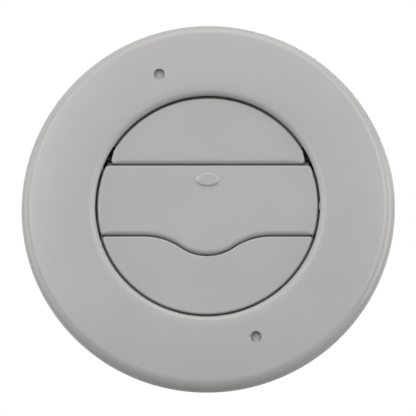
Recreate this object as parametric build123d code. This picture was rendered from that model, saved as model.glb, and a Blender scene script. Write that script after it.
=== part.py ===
"""Round dashboard air vent: a domed bezel whose opening is closed by three linked shutter blades.

The vent is drawn looking at its face: x to the right, y up, z out of the dashboard, with z = 0 where the
flange sits on the panel. INSTALLED then stands it up as it is fitted: the face looks along -Y and the
top is +Z. Lengths are in millimetres, angles in degrees.
"""
import os
from math import asin, cos, degrees, radians, sin, sqrt

from build123d import *

INSTALLED = Plane(origin=(0, 0, 0), x_dir=(1, 0, 0), z_dir=(0, -1, 0))

# Front ring
FLANGE_DIAMETER = 100.0
FLANGE_HEIGHT = 4.8         # crest of the ring above the panel
CROWN_DROP = 0.8            # how much lower the face is where the rim round starts
RIM_ROUND = 2.8             # width and height of the rounded outer edge
RIM_DRAFT = 0.2             # lean of the short wall below that round
RIM_SEAT = 2.4              # width of the rim where it sits on the panel
FACE_WIDTH = 20.0           # from the rim to the opening
LIP_WIDTH = 3.2             # rolled lip, across the ring
LIP_SLOPE = 0.18            # gentle fall of the lip towards its round edge
LIP_ROUND = 1.3             # width of that round edge
LIP_DEPTH = 1.5             # rolled lip, into the opening
LIP_EDGE = 1.2              # height of the wall below the rolled lip
LIP_DRAFT = 0.5             # lean of that wall
NUB_HEIGHT = 0.2            # small index nub on the lip, at three o'clock
NUB_WIDTH = 1.8

# Pin-spanner holes in the ring
SPANNER_HOLE_DIAMETER = 3.0
SPANNER_INSET = 11.95       # of the holes from the rim
SPANNER_HOLE_DEPTH = 1.6
SPANNER_HOLE_ANGLE = 110.3

# Sleeve behind the ring, with its bayonet lugs
LIP_COVER = 6.2             # of the lip over the bore of the sleeve
SLEEVE_WALL = 2.0
SLEEVE_LENGTH = 19.5        # behind the panel face
PANEL_THICKNESS = 3.0
PANEL_PLAY = 0.2
LUG_COUNT = 3
LUG_START_ANGLE = 90.0
LUG_ARC = 22.0
LUG_HEIGHT = 4.4
LUG_THICKNESS = 2.4
LUG_RAMP_DROP = 0.9         # lead-in at one end of a lug
LUG_RAMP_LENGTH = 4.0

# Screws that hold the duct collar
SCREW_DIAMETER = 2.9
SCREW_LENGTH = 10.0
SCREW_HEAD_DIAMETER = 5.6
SCREW_HEAD_HEIGHT = 1.9
SCREW_RECESS_SPAN = 3.2     # cross recess, over its arms
SCREW_RECESS_WIDTH = 0.8
SCREW_BOSS_WALL = 1.5
SCREW_HOLE_CLEARANCE = 0.15

# Duct collar
COLLAR_THICKNESS = 2.0
DUCT_STEP = 8.8             # of the duct's bore inside the sleeve
SPIGOT_WALL = 1.6
SPIGOT_LENGTH = 12.0
SPIGOT_LEAD = 0.8           # bevel that the hose slides over
FUNNEL_DEPTH = 5.0
SHOULDER_WIDTH = 1.8        # step that the hose is pushed up to
SHOULDER_HEIGHT = 3.0

# Drum that carries the blades
DRUM_WALL = 1.8
DRUM_CLEARANCE = 0.35       # between drum and sleeve
END_PLAY = 0.3              # of the drum between lip and collar
LEDGE_THICKNESS = 1.2       # stop behind the lower blade
LEDGE_OVERLAP = 0.8
LEDGE_TOP = -15.2           # height where the stop ends
RIB_STEP = 1.0              # of the ribs between the bearings, inside the blocks
RIB_LOW = -8.4              # height where these ribs end
RING_WIDTH = 2.4            # swivel friction ring
RING_GROOVE_DEPTH = 0.75
RING_SETBACK = 3.6          # from the drum's rear end
RING_SPLIT = 1.6
SNAP_BEAD_HEIGHT = 0.6
SNAP_BEAD_WIDTH = 1.2

# Shutter blades
BLADE_RECESS = 1.6          # of the blades' face below the crest of the ring
BLADE_THICKNESS = 2.0
BLADE_GAP = 0.6             # between lip and blades
SPLIT_GAP = 0.5             # between neighbouring blades
UPPER_SPLIT = 11.2
LOWER_SPLIT = -8.12
TAB_DEPTH = 5.3             # dip of the finger tab below the lower split
TAB_HALF_WIDTH = 17.0
TAB_RADIUS = 12.4
BLADE_EDGE_ROUND = 0.6
BLADE_CORNER_ROUND = 0.9
RELIEF_CUT = 0.95           # taken off the upper blade's lower corners, each side
RELIEF_TOP = 15.0
SEAL_OVERLAP = 0.8          # sealing flange of the upper blade behind the lip
SEAL_END = 16.4             # height where that flange ends
SEAL_CLEARANCE = 0.15       # between lip and the sealing flanges of the other blades
SEAL_THICKNESS = 0.5
LAP_OVERLAP = 0.4           # of a blade's rear strip behind the blade above it
LAP_ROOT = 1.0
LAP_CLEARANCE = 0.3
OVAL_LENGTH = 6.4
OVAL_WIDTH = 3.6
OVAL_HEIGHT = 0.45
OVAL_POSITION = 7.1

# Blade pivots
PIVOT_PITCH = 13.5
PIVOT_SETBACK = 3.4         # of the axes behind the blades' face
PIN_DIAMETER = 2.0
PIN_SEAT = 4.0              # length of a pin inside its boss
PIN_BOSS_DIAMETER = 2.6
PIN_BOSS_LENGTH = 5.0
RUNNING_CLEARANCE = 0.05
SIDE_PLAY = 0.2
PIN_LENGTH = 2.2
BUSH_WALL = 0.7
BEARING_WALL = 1.3
BEARING_DEPTH = 6.0         # of the bearing blocks behind the axes
RETAINER_THICKNESS = 2.0
RETAINER_WIDTH = 4.4
RETAINER_CLEARANCE = 0.15

# Link between the blades
CRANK_RADIUS = 15.0
CRANK_ANGLE = 45.0          # of the cranks above the rearward direction, blades closed
CRANK_SIDE = 8.0            # distance of the cranks from the middle
CRANK_THICKNESS = 2.0
CRANK_ROOT = 7.5
LINK_THICKNESS = 2.0
LINK_WIDTH = 4.2
LINK_PIN_DIAMETER = 2.4
LINK_PIN_HEAD = 0.9
LINK_PIN_HEAD_DIAMETER = 3.2
LINK_SIDE_PLAY = 0.15
LINK_FREE_CLEARANCE = 0.15  # at the upper and lower eyes

# Foam
GASKET_CLEARANCE = 1.0
GASKET_RECESS = 0.1
DUCT_SEAL_THICKNESS = 2.5
DUCT_SEAL_FIT = 0.2         # between seal and shoulder
DUCT_SEAL_MARGIN = 0.4      # between seal and screw heads

# Worked out from the sizes above
FLANGE_RADIUS = FLANGE_DIAMETER / 2
OPENING_RADIUS = FLANGE_RADIUS - FACE_WIDTH
LIP_BACK = FLANGE_HEIGHT - LIP_DEPTH - LIP_EDGE
SPANNER_CIRCLE_RADIUS = FLANGE_RADIUS - SPANNER_INSET
BORE_RADIUS = OPENING_RADIUS + LIP_COVER
SLEEVE_RADIUS = BORE_RADIUS + SLEEVE_WALL
LUG_RADIUS = SLEEVE_RADIUS + LUG_HEIGHT
LUG_FRONT = -PANEL_THICKNESS - PANEL_PLAY
PILOT_RADIUS = SCREW_DIAMETER / 2
SCREW_BOSS_RADIUS = PILOT_RADIUS + SCREW_BOSS_WALL
SCREW_CIRCLE_RADIUS = LUG_RADIUS - SCREW_BOSS_RADIUS
SLEEVE_END = -SLEEVE_LENGTH
COLLAR_BACK = SLEEVE_END - COLLAR_THICKNESS
SHOULDER_BACK = COLLAR_BACK - SHOULDER_HEIGHT
DUCT_RADIUS = SLEEVE_RADIUS - DUCT_STEP
SPIGOT_RADIUS = DUCT_RADIUS + SPIGOT_WALL
SHOULDER_RADIUS = SPIGOT_RADIUS + SHOULDER_WIDTH
DRUM_RADIUS = BORE_RADIUS - DRUM_CLEARANCE
DRUM_BORE_RADIUS = DRUM_RADIUS - DRUM_WALL
DRUM_FRONT = LIP_BACK - END_PLAY
DRUM_BACK = SLEEVE_END + END_PLAY
RING_BACK = DRUM_BACK + RING_SETBACK
BLADE_FACE = FLANGE_HEIGHT - BLADE_RECESS
BLADE_BACK = BLADE_FACE - BLADE_THICKNESS
SEAL_FRONT = BLADE_BACK + SEAL_THICKNESS
LAP_CEILING = SEAL_FRONT + LAP_CLEARANCE
LAP_ROOM = LAP_OVERLAP + LAP_CLEARANCE
BLADE_RADIUS = OPENING_RADIUS - BLADE_GAP
PIVOT_Z = BLADE_FACE - PIVOT_SETBACK
PIN_RADIUS = PIN_DIAMETER / 2
BUSH_RADIUS = PIN_RADIUS + RUNNING_CLEARANCE + BUSH_WALL
BEARING_HALF_WIDTH = BUSH_RADIUS + BEARING_WALL
BEARING_BACK = PIVOT_Z - BEARING_DEPTH
RETAINER_RADIUS = DRUM_BORE_RADIUS - RETAINER_CLEARANCE
CRANK_RISE = CRANK_RADIUS * sin(radians(CRANK_ANGLE))
CRANK_REACH = CRANK_RADIUS * cos(radians(CRANK_ANGLE))
LINK_SIDE = CRANK_SIDE + CRANK_THICKNESS + LINK_SIDE_PLAY
LEFT = -1
RIGHT = 1


def half_chord(radius, height):
    """Half the width of a circle at a height above its middle."""
    return sqrt(radius**2 - height**2)


# The middle blade is as wide as the opening at its pivot. The bearings of the outer blades stand just
# outside the widest corner that passes them, which is the upper corner of the lower blade.
MIDDLE_BEARING_SIDE = BLADE_RADIUS + SIDE_PLAY
OUTER_BEARING_SIDE = half_chord(BLADE_RADIUS, LOWER_SPLIT - SPLIT_GAP / 2) + SIDE_PLAY
BEARINGS = {
    "upper": (PIVOT_PITCH, OUTER_BEARING_SIDE),
    "middle": (0.0, MIDDLE_BEARING_SIDE),
    "lower": (-PIVOT_PITCH, OUTER_BEARING_SIDE),
}

# Where the bosses of the pivot pins end, just inside the edges of the blades
PIN_ROOTS = {
    "upper": half_chord(BLADE_RADIUS, RELIEF_TOP) - BLADE_EDGE_ROUND,
    "middle": BLADE_RADIUS - BLADE_EDGE_ROUND,
    "lower": half_chord(BLADE_RADIUS, PIVOT_PITCH) - BLADE_EDGE_ROUND,
}


def turned(*edges):
    """Solid of revolution about the vent's axis, from a closed outline in radius and z."""
    return revolve(Plane.XZ * make_face(Curve() + list(edges)), Axis.Z)


def ring(inner, outer, back, front):
    """Plain ring about the vent's axis."""
    face = Circle(outer) - Circle(inner)
    return Pos(0, 0, back) * extrude(face, front - back)


def block(x_range, y_range, z_range):
    """Box between pairs of coordinates."""
    sizes = [high - low for low, high in (x_range, y_range, z_range)]
    middle = [(high + low) / 2 for low, high in (x_range, y_range, z_range)]
    return Pos(*middle) * Box(*sizes)


def rod(radius, x_range, y, z):
    """Cylinder along x."""
    low, high = sorted(x_range)
    return Pos(low, y, z) * extrude(Plane.YZ * Circle(radius), high - low)


def pie(angle, arc, radius, back, front):
    """Wedge about the vent's axis, centred on an angle."""
    start, end = radians(angle - arc / 2), radians(angle + arc / 2)
    first = (radius * cos(start), radius * sin(start))
    middle = (radius * cos(radians(angle)), radius * sin(radians(angle)))
    last = (radius * cos(end), radius * sin(end))
    face = make_face([Line((0, 0), first), ThreePointArc(first, middle, last), Line(last, (0, 0))])
    return Pos(0, 0, back) * extrude(face, front - back)


def lug_places():
    """Places of the lugs and of the screws behind them."""
    return [Rot(0, 0, LUG_START_ANGLE + step * 360 / LUG_COUNT) for step in range(LUG_COUNT)]


def bezel():
    """Front ring with its rolled lip, spanner holes, sleeve and bayonet lugs."""
    crown_inner = (OPENING_RADIUS + LIP_WIDTH, FLANGE_HEIGHT)
    crown_outer = (FLANGE_RADIUS - RIM_DRAFT - RIM_ROUND, FLANGE_HEIGHT - CROWN_DROP)
    crown_span = crown_outer[0] - crown_inner[0]
    crown_radius = (crown_span**2 + CROWN_DROP**2) / (2 * CROWN_DROP)
    crown_middle = (crown_inner[0] + crown_span / 2,
                    FLANGE_HEIGHT - crown_radius + sqrt(crown_radius**2 - crown_span**2 / 4))
    crown = ThreePointArc(crown_inner, crown_middle, crown_outer)
    rim_top = (FLANGE_RADIUS - RIM_DRAFT, crown_outer[1] - RIM_ROUND)
    lip_low = (OPENING_RADIUS, FLANGE_HEIGHT - LIP_DEPTH)
    seat_inner = FLANGE_RADIUS - RIM_SEAT
    back = Polyline(rim_top, (FLANGE_RADIUS, 0), (seat_inner, 0), (seat_inner, LIP_BACK),
                    (SLEEVE_RADIUS, LIP_BACK), (SLEEVE_RADIUS, SLEEVE_END), (BORE_RADIUS, SLEEVE_END),
                    (BORE_RADIUS, LIP_BACK), (OPENING_RADIUS + LIP_DRAFT, LIP_BACK), lip_low)
    lip = TangentArc(crown_inner, (OPENING_RADIUS + LIP_ROUND, FLANGE_HEIGHT - LIP_SLOPE), tangent=(-1, 0))
    lip_edge = TangentArc(lip @ 1, lip_low, tangent=lip % 1)
    body = turned(lip_edge, lip, crown, TangentArc(crown_outer, rim_top, tangent=crown % 1), back)

    lug = pie(0, LUG_ARC, LUG_RADIUS, LUG_FRONT - LUG_THICKNESS, LUG_FRONT)
    lug_end = LUG_RADIUS * sin(radians(LUG_ARC / 2))
    ramp = make_face(Polyline((lug_end, LUG_FRONT), (lug_end, LUG_FRONT - LUG_RAMP_DROP),
                              (lug_end - LUG_RAMP_LENGTH, LUG_FRONT), close=True))
    lug -= extrude(Plane.YZ * ramp, LUG_RADIUS)
    screw_place = Pos(SCREW_CIRCLE_RADIUS, 0, SLEEVE_END)
    boss = screw_place * extrude(Circle(SCREW_BOSS_RADIUS), LUG_FRONT - SLEEVE_END)
    pilot = screw_place * extrude(Circle(PILOT_RADIUS), SCREW_LENGTH)
    bore = Pos(0, 0, SLEEVE_END) * extrude(Circle(BORE_RADIUS), SLEEVE_LENGTH)
    for place in lug_places():
        body += place * (lug + boss - bore)
        body -= place * pilot

    hole = Pos(SPANNER_CIRCLE_RADIUS, 0, FLANGE_HEIGHT - SPANNER_HOLE_DEPTH) * extrude(
        Circle(SPANNER_HOLE_DIAMETER / 2), SPANNER_HOLE_DEPTH)
    for turn in (0, 180):
        body -= Rot(0, 0, SPANNER_HOLE_ANGLE + turn) * hole

    nub = block((OPENING_RADIUS - NUB_HEIGHT, OPENING_RADIUS + LIP_EDGE),
                (-NUB_WIDTH / 2, NUB_WIDTH / 2), (LIP_BACK, lip_low[1]))
    return body + nub


def duct_collar():
    """Rear ring that keeps the drum in, narrows to the duct and is screwed to the sleeve."""
    spigot_end = SHOULDER_BACK - SPIGOT_LENGTH
    body = turned(Polyline(
        (SLEEVE_RADIUS, SLEEVE_END), (SLEEVE_RADIUS, COLLAR_BACK), (SHOULDER_RADIUS, COLLAR_BACK),
        (SHOULDER_RADIUS, SHOULDER_BACK), (SPIGOT_RADIUS, SHOULDER_BACK),
        (SPIGOT_RADIUS, spigot_end + SPIGOT_LEAD), (SPIGOT_RADIUS - SPIGOT_LEAD, spigot_end),
        (DUCT_RADIUS, spigot_end), (DUCT_RADIUS, SLEEVE_END - FUNNEL_DEPTH),
        (DRUM_BORE_RADIUS, SLEEVE_END), (SLEEVE_RADIUS, SLEEVE_END)))
    ear = Circle(SCREW_BOSS_RADIUS) + Pos(-SCREW_BOSS_RADIUS / 2, 0) * Rectangle(
        SCREW_BOSS_RADIUS, 2 * SCREW_BOSS_RADIUS)
    ear_plate = Pos(SCREW_CIRCLE_RADIUS, 0, COLLAR_BACK) * extrude(ear, COLLAR_THICKNESS)
    hole = Pos(SCREW_CIRCLE_RADIUS, 0, COLLAR_BACK) * extrude(
        Circle(PILOT_RADIUS + SCREW_HOLE_CLEARANCE), COLLAR_THICKNESS)
    inside = Pos(0, 0, COLLAR_BACK) * extrude(Circle(BORE_RADIUS), COLLAR_THICKNESS)
    for place in lug_places():
        body += place * (ear_plate - inside)
        body -= place * hole
    return body


def collar_screws():
    """Three pan-head screws, driven from behind."""
    shank = Pos(0, 0, COLLAR_BACK) * extrude(Circle(PILOT_RADIUS), SCREW_LENGTH)
    head_back = COLLAR_BACK - SCREW_HEAD_HEIGHT
    head = Pos(0, 0, head_back) * extrude(Circle(SCREW_HEAD_DIAMETER / 2), SCREW_HEAD_HEIGHT)
    head = fillet(head.edges().group_by(Axis.Z)[0], SCREW_HEAD_HEIGHT / 2)
    arm = Box(SCREW_RECESS_SPAN, SCREW_RECESS_WIDTH, SCREW_HEAD_HEIGHT)
    cross = Pos(0, 0, head_back) * (arm + Rot(0, 0, 90) * arm)
    screw = shank + head - cross
    return Compound([place * Pos(SCREW_CIRCLE_RADIUS, 0, 0) * screw for place in lug_places()])


def rotor_barrel():
    """Drum with the blades' bearing blocks and stops and the friction ring's groove."""
    body = ring(DRUM_BORE_RADIUS, DRUM_RADIUS, DRUM_BACK, DRUM_FRONT)
    body -= ring(DRUM_RADIUS - RING_GROOVE_DEPTH, BORE_RADIUS, RING_BACK, RING_BACK + RING_WIDTH)

    inner_half = DRUM_BORE_RADIUS + DRUM_WALL / 2
    ledge_top = BLADE_BACK - SIDE_PLAY
    ledge_back = ledge_top - LEDGE_THICKNESS
    ledge = ring(BLADE_RADIUS - LEDGE_OVERLAP, inner_half, ledge_back, ledge_top)
    body += ledge & block((-DRUM_RADIUS, DRUM_RADIUS), (-DRUM_RADIUS, LEDGE_TOP), (BEARING_BACK, DRUM_FRONT))

    core = Pos(0, 0, BEARING_BACK) * extrude(Circle(inner_half), DRUM_FRONT - BEARING_BACK)
    shelf_range = (-PIVOT_PITCH, -BEARING_HALF_WIDTH)
    shelf = core & block((OUTER_BEARING_SIDE, DRUM_RADIUS), shelf_range, (ledge_back, ledge_top))
    rib_back = BEARING_BACK + LEDGE_THICKNESS / 2
    rib = core & block((OUTER_BEARING_SIDE - RIB_STEP, DRUM_RADIUS), (RIB_LOW, -BEARING_HALF_WIDTH),
                       (rib_back, rib_back + LEDGE_THICKNESS))
    for web in (shelf, rib):
        body += web + mirror(web, Plane.YZ)
    for height, side in BEARINGS.values():
        y_range = (height - BEARING_HALF_WIDTH, height + BEARING_HALF_WIDTH)
        for direction in (LEFT, RIGHT):
            x_range = sorted((direction * side, direction * DRUM_RADIUS))
            body += block(x_range, y_range, (BEARING_BACK, DRUM_FRONT)) & core
            body -= bearing_slot(height, side, direction)

    bead_front = BEARING_BACK - RETAINER_THICKNESS - RETAINER_CLEARANCE
    bead = ring(DRUM_BORE_RADIUS - SNAP_BEAD_HEIGHT, inner_half, bead_front - SNAP_BEAD_WIDTH, bead_front)
    for angle in (0, 180):
        body += bead & pie(angle, retainer_arc(), DRUM_RADIUS, DRUM_BACK, DRUM_FRONT)
    return body


def bearing_radius(direction):
    """Radius of the bearing slots: room for a bush on the left, for the bare pin on the right."""
    seat = BUSH_RADIUS if direction == LEFT else PIN_RADIUS
    return seat + RUNNING_CLEARANCE


def bearing_slot(height, side, direction):
    """Slot that takes a pin, or its bush, from behind."""
    radius = bearing_radius(direction)
    x_range = sorted((direction * (side - SIDE_PLAY), direction * (side + PIN_LENGTH + SIDE_PLAY)))
    slot = block(x_range, (height - radius, height + radius), (DRUM_BACK, PIVOT_Z))
    return slot + rod(radius, x_range, height, PIVOT_Z)


def retainer_arc():
    """Angle that the retaining strips cover."""
    return 2 * degrees(asin((PIVOT_PITCH + BEARING_HALF_WIDTH) / DRUM_BORE_RADIUS))


def pivot_retainer(direction):
    """Strip that closes the three bearing slots of one side from behind."""
    inner = RETAINER_RADIUS - RETAINER_WIDTH
    angle = 0 if direction == RIGHT else 180
    strip = ring(inner, RETAINER_RADIUS, BEARING_BACK - RETAINER_THICKNESS, BEARING_BACK)
    body = strip & pie(angle, retainer_arc(), DRUM_RADIUS, DRUM_BACK, DRUM_FRONT)
    half_width = bearing_radius(direction) - RETAINER_CLEARANCE
    tip = PIVOT_Z - bearing_radius(direction)
    tongue_ring = ring(inner, RETAINER_RADIUS, BEARING_BACK, tip)
    for height, side in BEARINGS.values():
        limit = side + PIN_LENGTH + SIDE_PLAY - RETAINER_CLEARANCE
        x_range = sorted((direction * (side + RETAINER_CLEARANCE), direction * limit))
        body += tongue_ring & block(x_range, (height - half_width, height + half_width), (BEARING_BACK, tip))
    return body


def friction_bush(height, side):
    """Rubber bush in a left bearing."""
    x_range = (-side - PIN_LENGTH, -side)
    bush = rod(BUSH_RADIUS, x_range, height, PIVOT_Z)
    return bush - rod(PIN_RADIUS + RUNNING_CLEARANCE, x_range, height, PIVOT_Z)


def swivel_friction_ring():
    """Split ring in the drum's groove that drags on the sleeve."""
    body = ring(DRUM_RADIUS - RING_GROOVE_DEPTH, BORE_RADIUS - RUNNING_CLEARANCE,
                RING_BACK + RUNNING_CLEARANCE, RING_BACK + RING_WIDTH - RUNNING_CLEARANCE)
    split = block((-RING_SPLIT / 2, RING_SPLIT / 2), (0, BORE_RADIUS), (DRUM_BACK, DRUM_FRONT))
    return body - split


def tab_line(shift):
    """Wavy line under the middle blade, from left to right, as straight ends and four tangent arcs."""
    y_flat = LOWER_SPLIT + shift
    y_tip = y_flat - TAB_DEPTH
    radius_sum = (TAB_HALF_WIDTH**2 + TAB_DEPTH**2) / (2 * TAB_DEPTH)
    shoulder_radius = radius_sum - TAB_RADIUS
    lean = TAB_HALF_WIDTH / radius_sum
    turn_x = TAB_HALF_WIDTH - shoulder_radius * lean
    turn_y = y_flat - shoulder_radius * (1 - sqrt(1 - lean**2))
    half_lean = sin(asin(lean) / 2)
    half_rise = 1 - cos(asin(lean) / 2)
    shoulder_mid = (TAB_HALF_WIDTH - shoulder_radius * half_lean, y_flat - shoulder_radius * half_rise)
    end = FLANGE_RADIUS
    return [
        Line((-end, y_flat), (-TAB_HALF_WIDTH, y_flat)),
        ThreePointArc((-TAB_HALF_WIDTH, y_flat), (-shoulder_mid[0], shoulder_mid[1]), (-turn_x, turn_y)),
        ThreePointArc((-turn_x, turn_y), (0, y_tip), (turn_x, turn_y)),
        ThreePointArc((turn_x, turn_y), shoulder_mid, (TAB_HALF_WIDTH, y_flat)),
        Line((TAB_HALF_WIDTH, y_flat), (end, y_flat)),
    ]


def region(edges, y_far):
    """Area between a line across the vent and a level line."""
    start, end = edges[0] @ 0, edges[-1] @ 1
    sides = Polyline((end.X, end.Y), (end.X, y_far), (start.X, y_far), (start.X, start.Y))
    return make_face(edges + [sides])


def level_line(height):
    """Straight line across the vent."""
    return [Line((-FLANGE_RADIUS, height), (FLANGE_RADIUS, height))]


def pin_bosses(name):
    """Bosses on the back of a blade that hold its pivot pins, on short webs."""
    height, root = BEARINGS[name][0], PIN_ROOTS[name]
    radius = PIN_BOSS_DIAMETER / 2
    body = []
    for direction in (LEFT, RIGHT):
        x_range = sorted((direction * (root - PIN_BOSS_LENGTH), direction * root))
        web_top = BLADE_BACK + BLADE_THICKNESS / 2
        body.append(block(x_range, (height - radius, height + radius), (PIVOT_Z, web_top)))
        body.append(rod(radius, x_range, height, PIVOT_Z))
    return body


def pivot_pins(name):
    """The two pins that a blade turns on."""
    height, side = BEARINGS[name]
    start = PIN_ROOTS[name] - PIN_SEAT
    tip = side + PIN_LENGTH - SIDE_PLAY
    ranges = [(direction * start, direction * tip) for direction in (LEFT, RIGHT)]
    return [rod(PIN_RADIUS, x_range, height, PIVOT_Z) for x_range in ranges]


def crank(height):
    """Arm on the back of a blade, with the pin that the link bar snaps onto."""
    pin_y, pin_z = height + CRANK_RISE, PIVOT_Z - CRANK_REACH
    eye_radius = LINK_WIDTH / 2
    along = (CRANK_RISE / CRANK_RADIUS, -CRANK_REACH / CRANK_RADIUS)
    across = (-along[1] * eye_radius, along[0] * eye_radius)
    arm = make_face(Polyline(
        (height - eye_radius / 2, BLADE_BACK), (height - eye_radius / 2 + CRANK_ROOT, BLADE_BACK),
        (pin_y + across[0], pin_z + across[1]), (pin_y - across[0], pin_z - across[1]),
        close=True)) + Pos(pin_y, pin_z) * Circle(eye_radius)
    body = Pos(CRANK_SIDE, 0, 0) * extrude(Plane.YZ * arm, CRANK_THICKNESS)
    root = CRANK_SIDE + CRANK_THICKNESS
    head = LINK_SIDE + LINK_THICKNESS + LINK_SIDE_PLAY
    body += rod(LINK_PIN_DIAMETER / 2, (root, head), pin_y, pin_z)
    return body + rod(LINK_PIN_HEAD_DIAMETER / 2, (head, head + LINK_PIN_HEAD), pin_y, pin_z)


def edge_seal(radius, half_width, y_range):
    """Thin flange round the back of a blade, which closes the gap to the ring."""
    flange = ring(BLADE_RADIUS - BLADE_THICKNESS, radius, BLADE_BACK, SEAL_FRONT)
    return flange & block((-half_width, half_width), y_range, (BLADE_BACK, BLADE_FACE))


def lap(first_line, last_line, half_width, front):
    """Strip along the back of a blade between two lines across the vent."""
    strip = region(first_line, FLANGE_RADIUS) & region(last_line, -FLANGE_RADIUS)
    strip = strip & Rectangle(2 * half_width, FLANGE_DIAMETER)
    return Pos(0, 0, BLADE_BACK) * extrude(strip, front - BLADE_BACK)


def upper_blade():
    """Blade with relieved lower corners and a sealing flange that closes behind the lip."""
    lower_edge = UPPER_SPLIT + SPLIT_GAP / 2
    low_side = half_chord(BLADE_RADIUS, lower_edge) - RELIEF_CUT
    relief_side = half_chord(BLADE_RADIUS, RELIEF_TOP)
    outline = Circle(BLADE_RADIUS) & region(level_line(lower_edge), FLANGE_RADIUS)
    kept = make_face(Polyline(
        (-low_side, lower_edge), (low_side, lower_edge), (relief_side, RELIEF_TOP),
        (relief_side, FLANGE_RADIUS), (-relief_side, FLANGE_RADIUS), (-relief_side, RELIEF_TOP), close=True))
    plate = Pos(0, 0, BLADE_BACK) * extrude(outline & kept, BLADE_THICKNESS)
    plate = fillet(plate.edges().filter_by(Axis.Z).group_by(Axis.Y)[0], BLADE_CORNER_ROUND)
    plate = fillet(plate.faces().sort_by(Axis.Z)[-1].edges(), BLADE_EDGE_ROUND)
    plate -= lap(level_line(lower_edge), level_line(lower_edge + LAP_ROOM), FLANGE_RADIUS, LAP_CEILING)
    seal = edge_seal(OPENING_RADIUS + SEAL_OVERLAP, FLANGE_RADIUS, (SEAL_END, FLANGE_RADIUS))
    body = plate + seal + pin_bosses("upper") + crank(PIVOT_PITCH)
    return body - pivot_pins("upper")


def middle_blade():
    """Blade with the finger tab and the oval thumb mark."""
    upper_edge = UPPER_SPLIT - SPLIT_GAP / 2
    outline = Circle(BLADE_RADIUS) & region(level_line(upper_edge), -FLANGE_RADIUS)
    outline = outline & region(tab_line(SPLIT_GAP / 2), FLANGE_RADIUS)
    plate = Pos(0, 0, BLADE_BACK) * extrude(outline, BLADE_THICKNESS)
    plate = fillet(plate.edges().filter_by(Axis.Z).group_by(Axis.Y)[-1], BLADE_CORNER_ROUND)
    plate = fillet(plate.faces().sort_by(Axis.Z)[-1].edges(), BLADE_EDGE_ROUND)
    plate -= lap(tab_line(SPLIT_GAP / 2), tab_line(SPLIT_GAP / 2 + LAP_ROOM), FLANGE_RADIUS, LAP_CEILING)
    strip_top = upper_edge + SPLIT_GAP + LAP_OVERLAP
    strip = lap(level_line(upper_edge - LAP_ROOT), level_line(strip_top),
                half_chord(BLADE_RADIUS, strip_top), SEAL_FRONT)
    oval = Pos(0, OVAL_POSITION, BLADE_FACE) * extrude(Ellipse(OVAL_LENGTH / 2, OVAL_WIDTH / 2), OVAL_HEIGHT)
    oval = fillet(oval.faces().sort_by(Axis.Z)[-1].edges(), OVAL_HEIGHT / 2)
    seal_low = LOWER_SPLIT + SPLIT_GAP / 2 + LAP_ROOM
    seal = edge_seal(OPENING_RADIUS - SEAL_CLEARANCE, BLADE_RADIUS,
                     (seal_low, upper_edge - BLADE_CORNER_ROUND))
    body = plate + strip + oval + seal + pin_bosses("middle") + crank(0)
    return body - pivot_pins("middle")


def lower_blade():
    """Blade whose upper edge follows the finger tab."""
    upper_edge = LOWER_SPLIT - SPLIT_GAP / 2
    outline = Circle(BLADE_RADIUS) & region(tab_line(-SPLIT_GAP / 2), -FLANGE_RADIUS)
    plate = Pos(0, 0, BLADE_BACK) * extrude(outline, BLADE_THICKNESS)
    plate = fillet(plate.edges().filter_by(Axis.Z).group_by(Axis.X)[0], BLADE_CORNER_ROUND)
    plate = fillet(plate.edges().filter_by(Axis.Z).group_by(Axis.X)[-1], BLADE_CORNER_ROUND)
    plate = fillet(plate.faces().sort_by(Axis.Z)[-1].edges(), BLADE_EDGE_ROUND)
    half_width = OUTER_BEARING_SIDE - SIDE_PLAY
    strip = lap(tab_line(-SPLIT_GAP / 2 - LAP_ROOT), tab_line(SPLIT_GAP / 2 + LAP_OVERLAP),
                half_width, SEAL_FRONT)
    seal = edge_seal(OPENING_RADIUS - SEAL_CLEARANCE, half_width,
                     (-FLANGE_RADIUS, upper_edge - BLADE_CORNER_ROUND))
    body = plate + strip + seal + pin_bosses("lower") + crank(-PIVOT_PITCH)
    return body - pivot_pins("lower")


def link_bar():
    """Bar with three eyes that keeps the blades parallel."""
    pin_z = PIVOT_Z - CRANK_REACH
    heights = [CRANK_RISE + height for height, side in BEARINGS.values()]
    length = max(heights) - min(heights)
    middle = (max(heights) + min(heights)) / 2
    outline = Pos(middle, pin_z) * SlotCenterToCenter(length, LINK_WIDTH)
    pin_radius = LINK_PIN_DIAMETER / 2
    for height in heights:
        clearance = RUNNING_CLEARANCE if height == CRANK_RISE else LINK_FREE_CLEARANCE
        outline -= Pos(height, pin_z) * Circle(pin_radius + clearance)
    return Pos(LINK_SIDE, 0, 0) * extrude(Plane.YZ * outline, LINK_THICKNESS)


def panel_gasket():
    """Foam ring in the channel behind the flange."""
    return ring(SLEEVE_RADIUS + GASKET_CLEARANCE, FLANGE_RADIUS - RIM_SEAT - GASKET_CLEARANCE,
                GASKET_RECESS, LIP_BACK)


def duct_seal():
    """Foam ring on the back of the collar, round its shoulder."""
    outer = SCREW_CIRCLE_RADIUS - SCREW_HEAD_DIAMETER / 2 - DUCT_SEAL_MARGIN
    return ring(SHOULDER_RADIUS + DUCT_SEAL_FIT, outer,
                COLLAR_BACK - DUCT_SEAL_THICKNESS, COLLAR_BACK)


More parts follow.
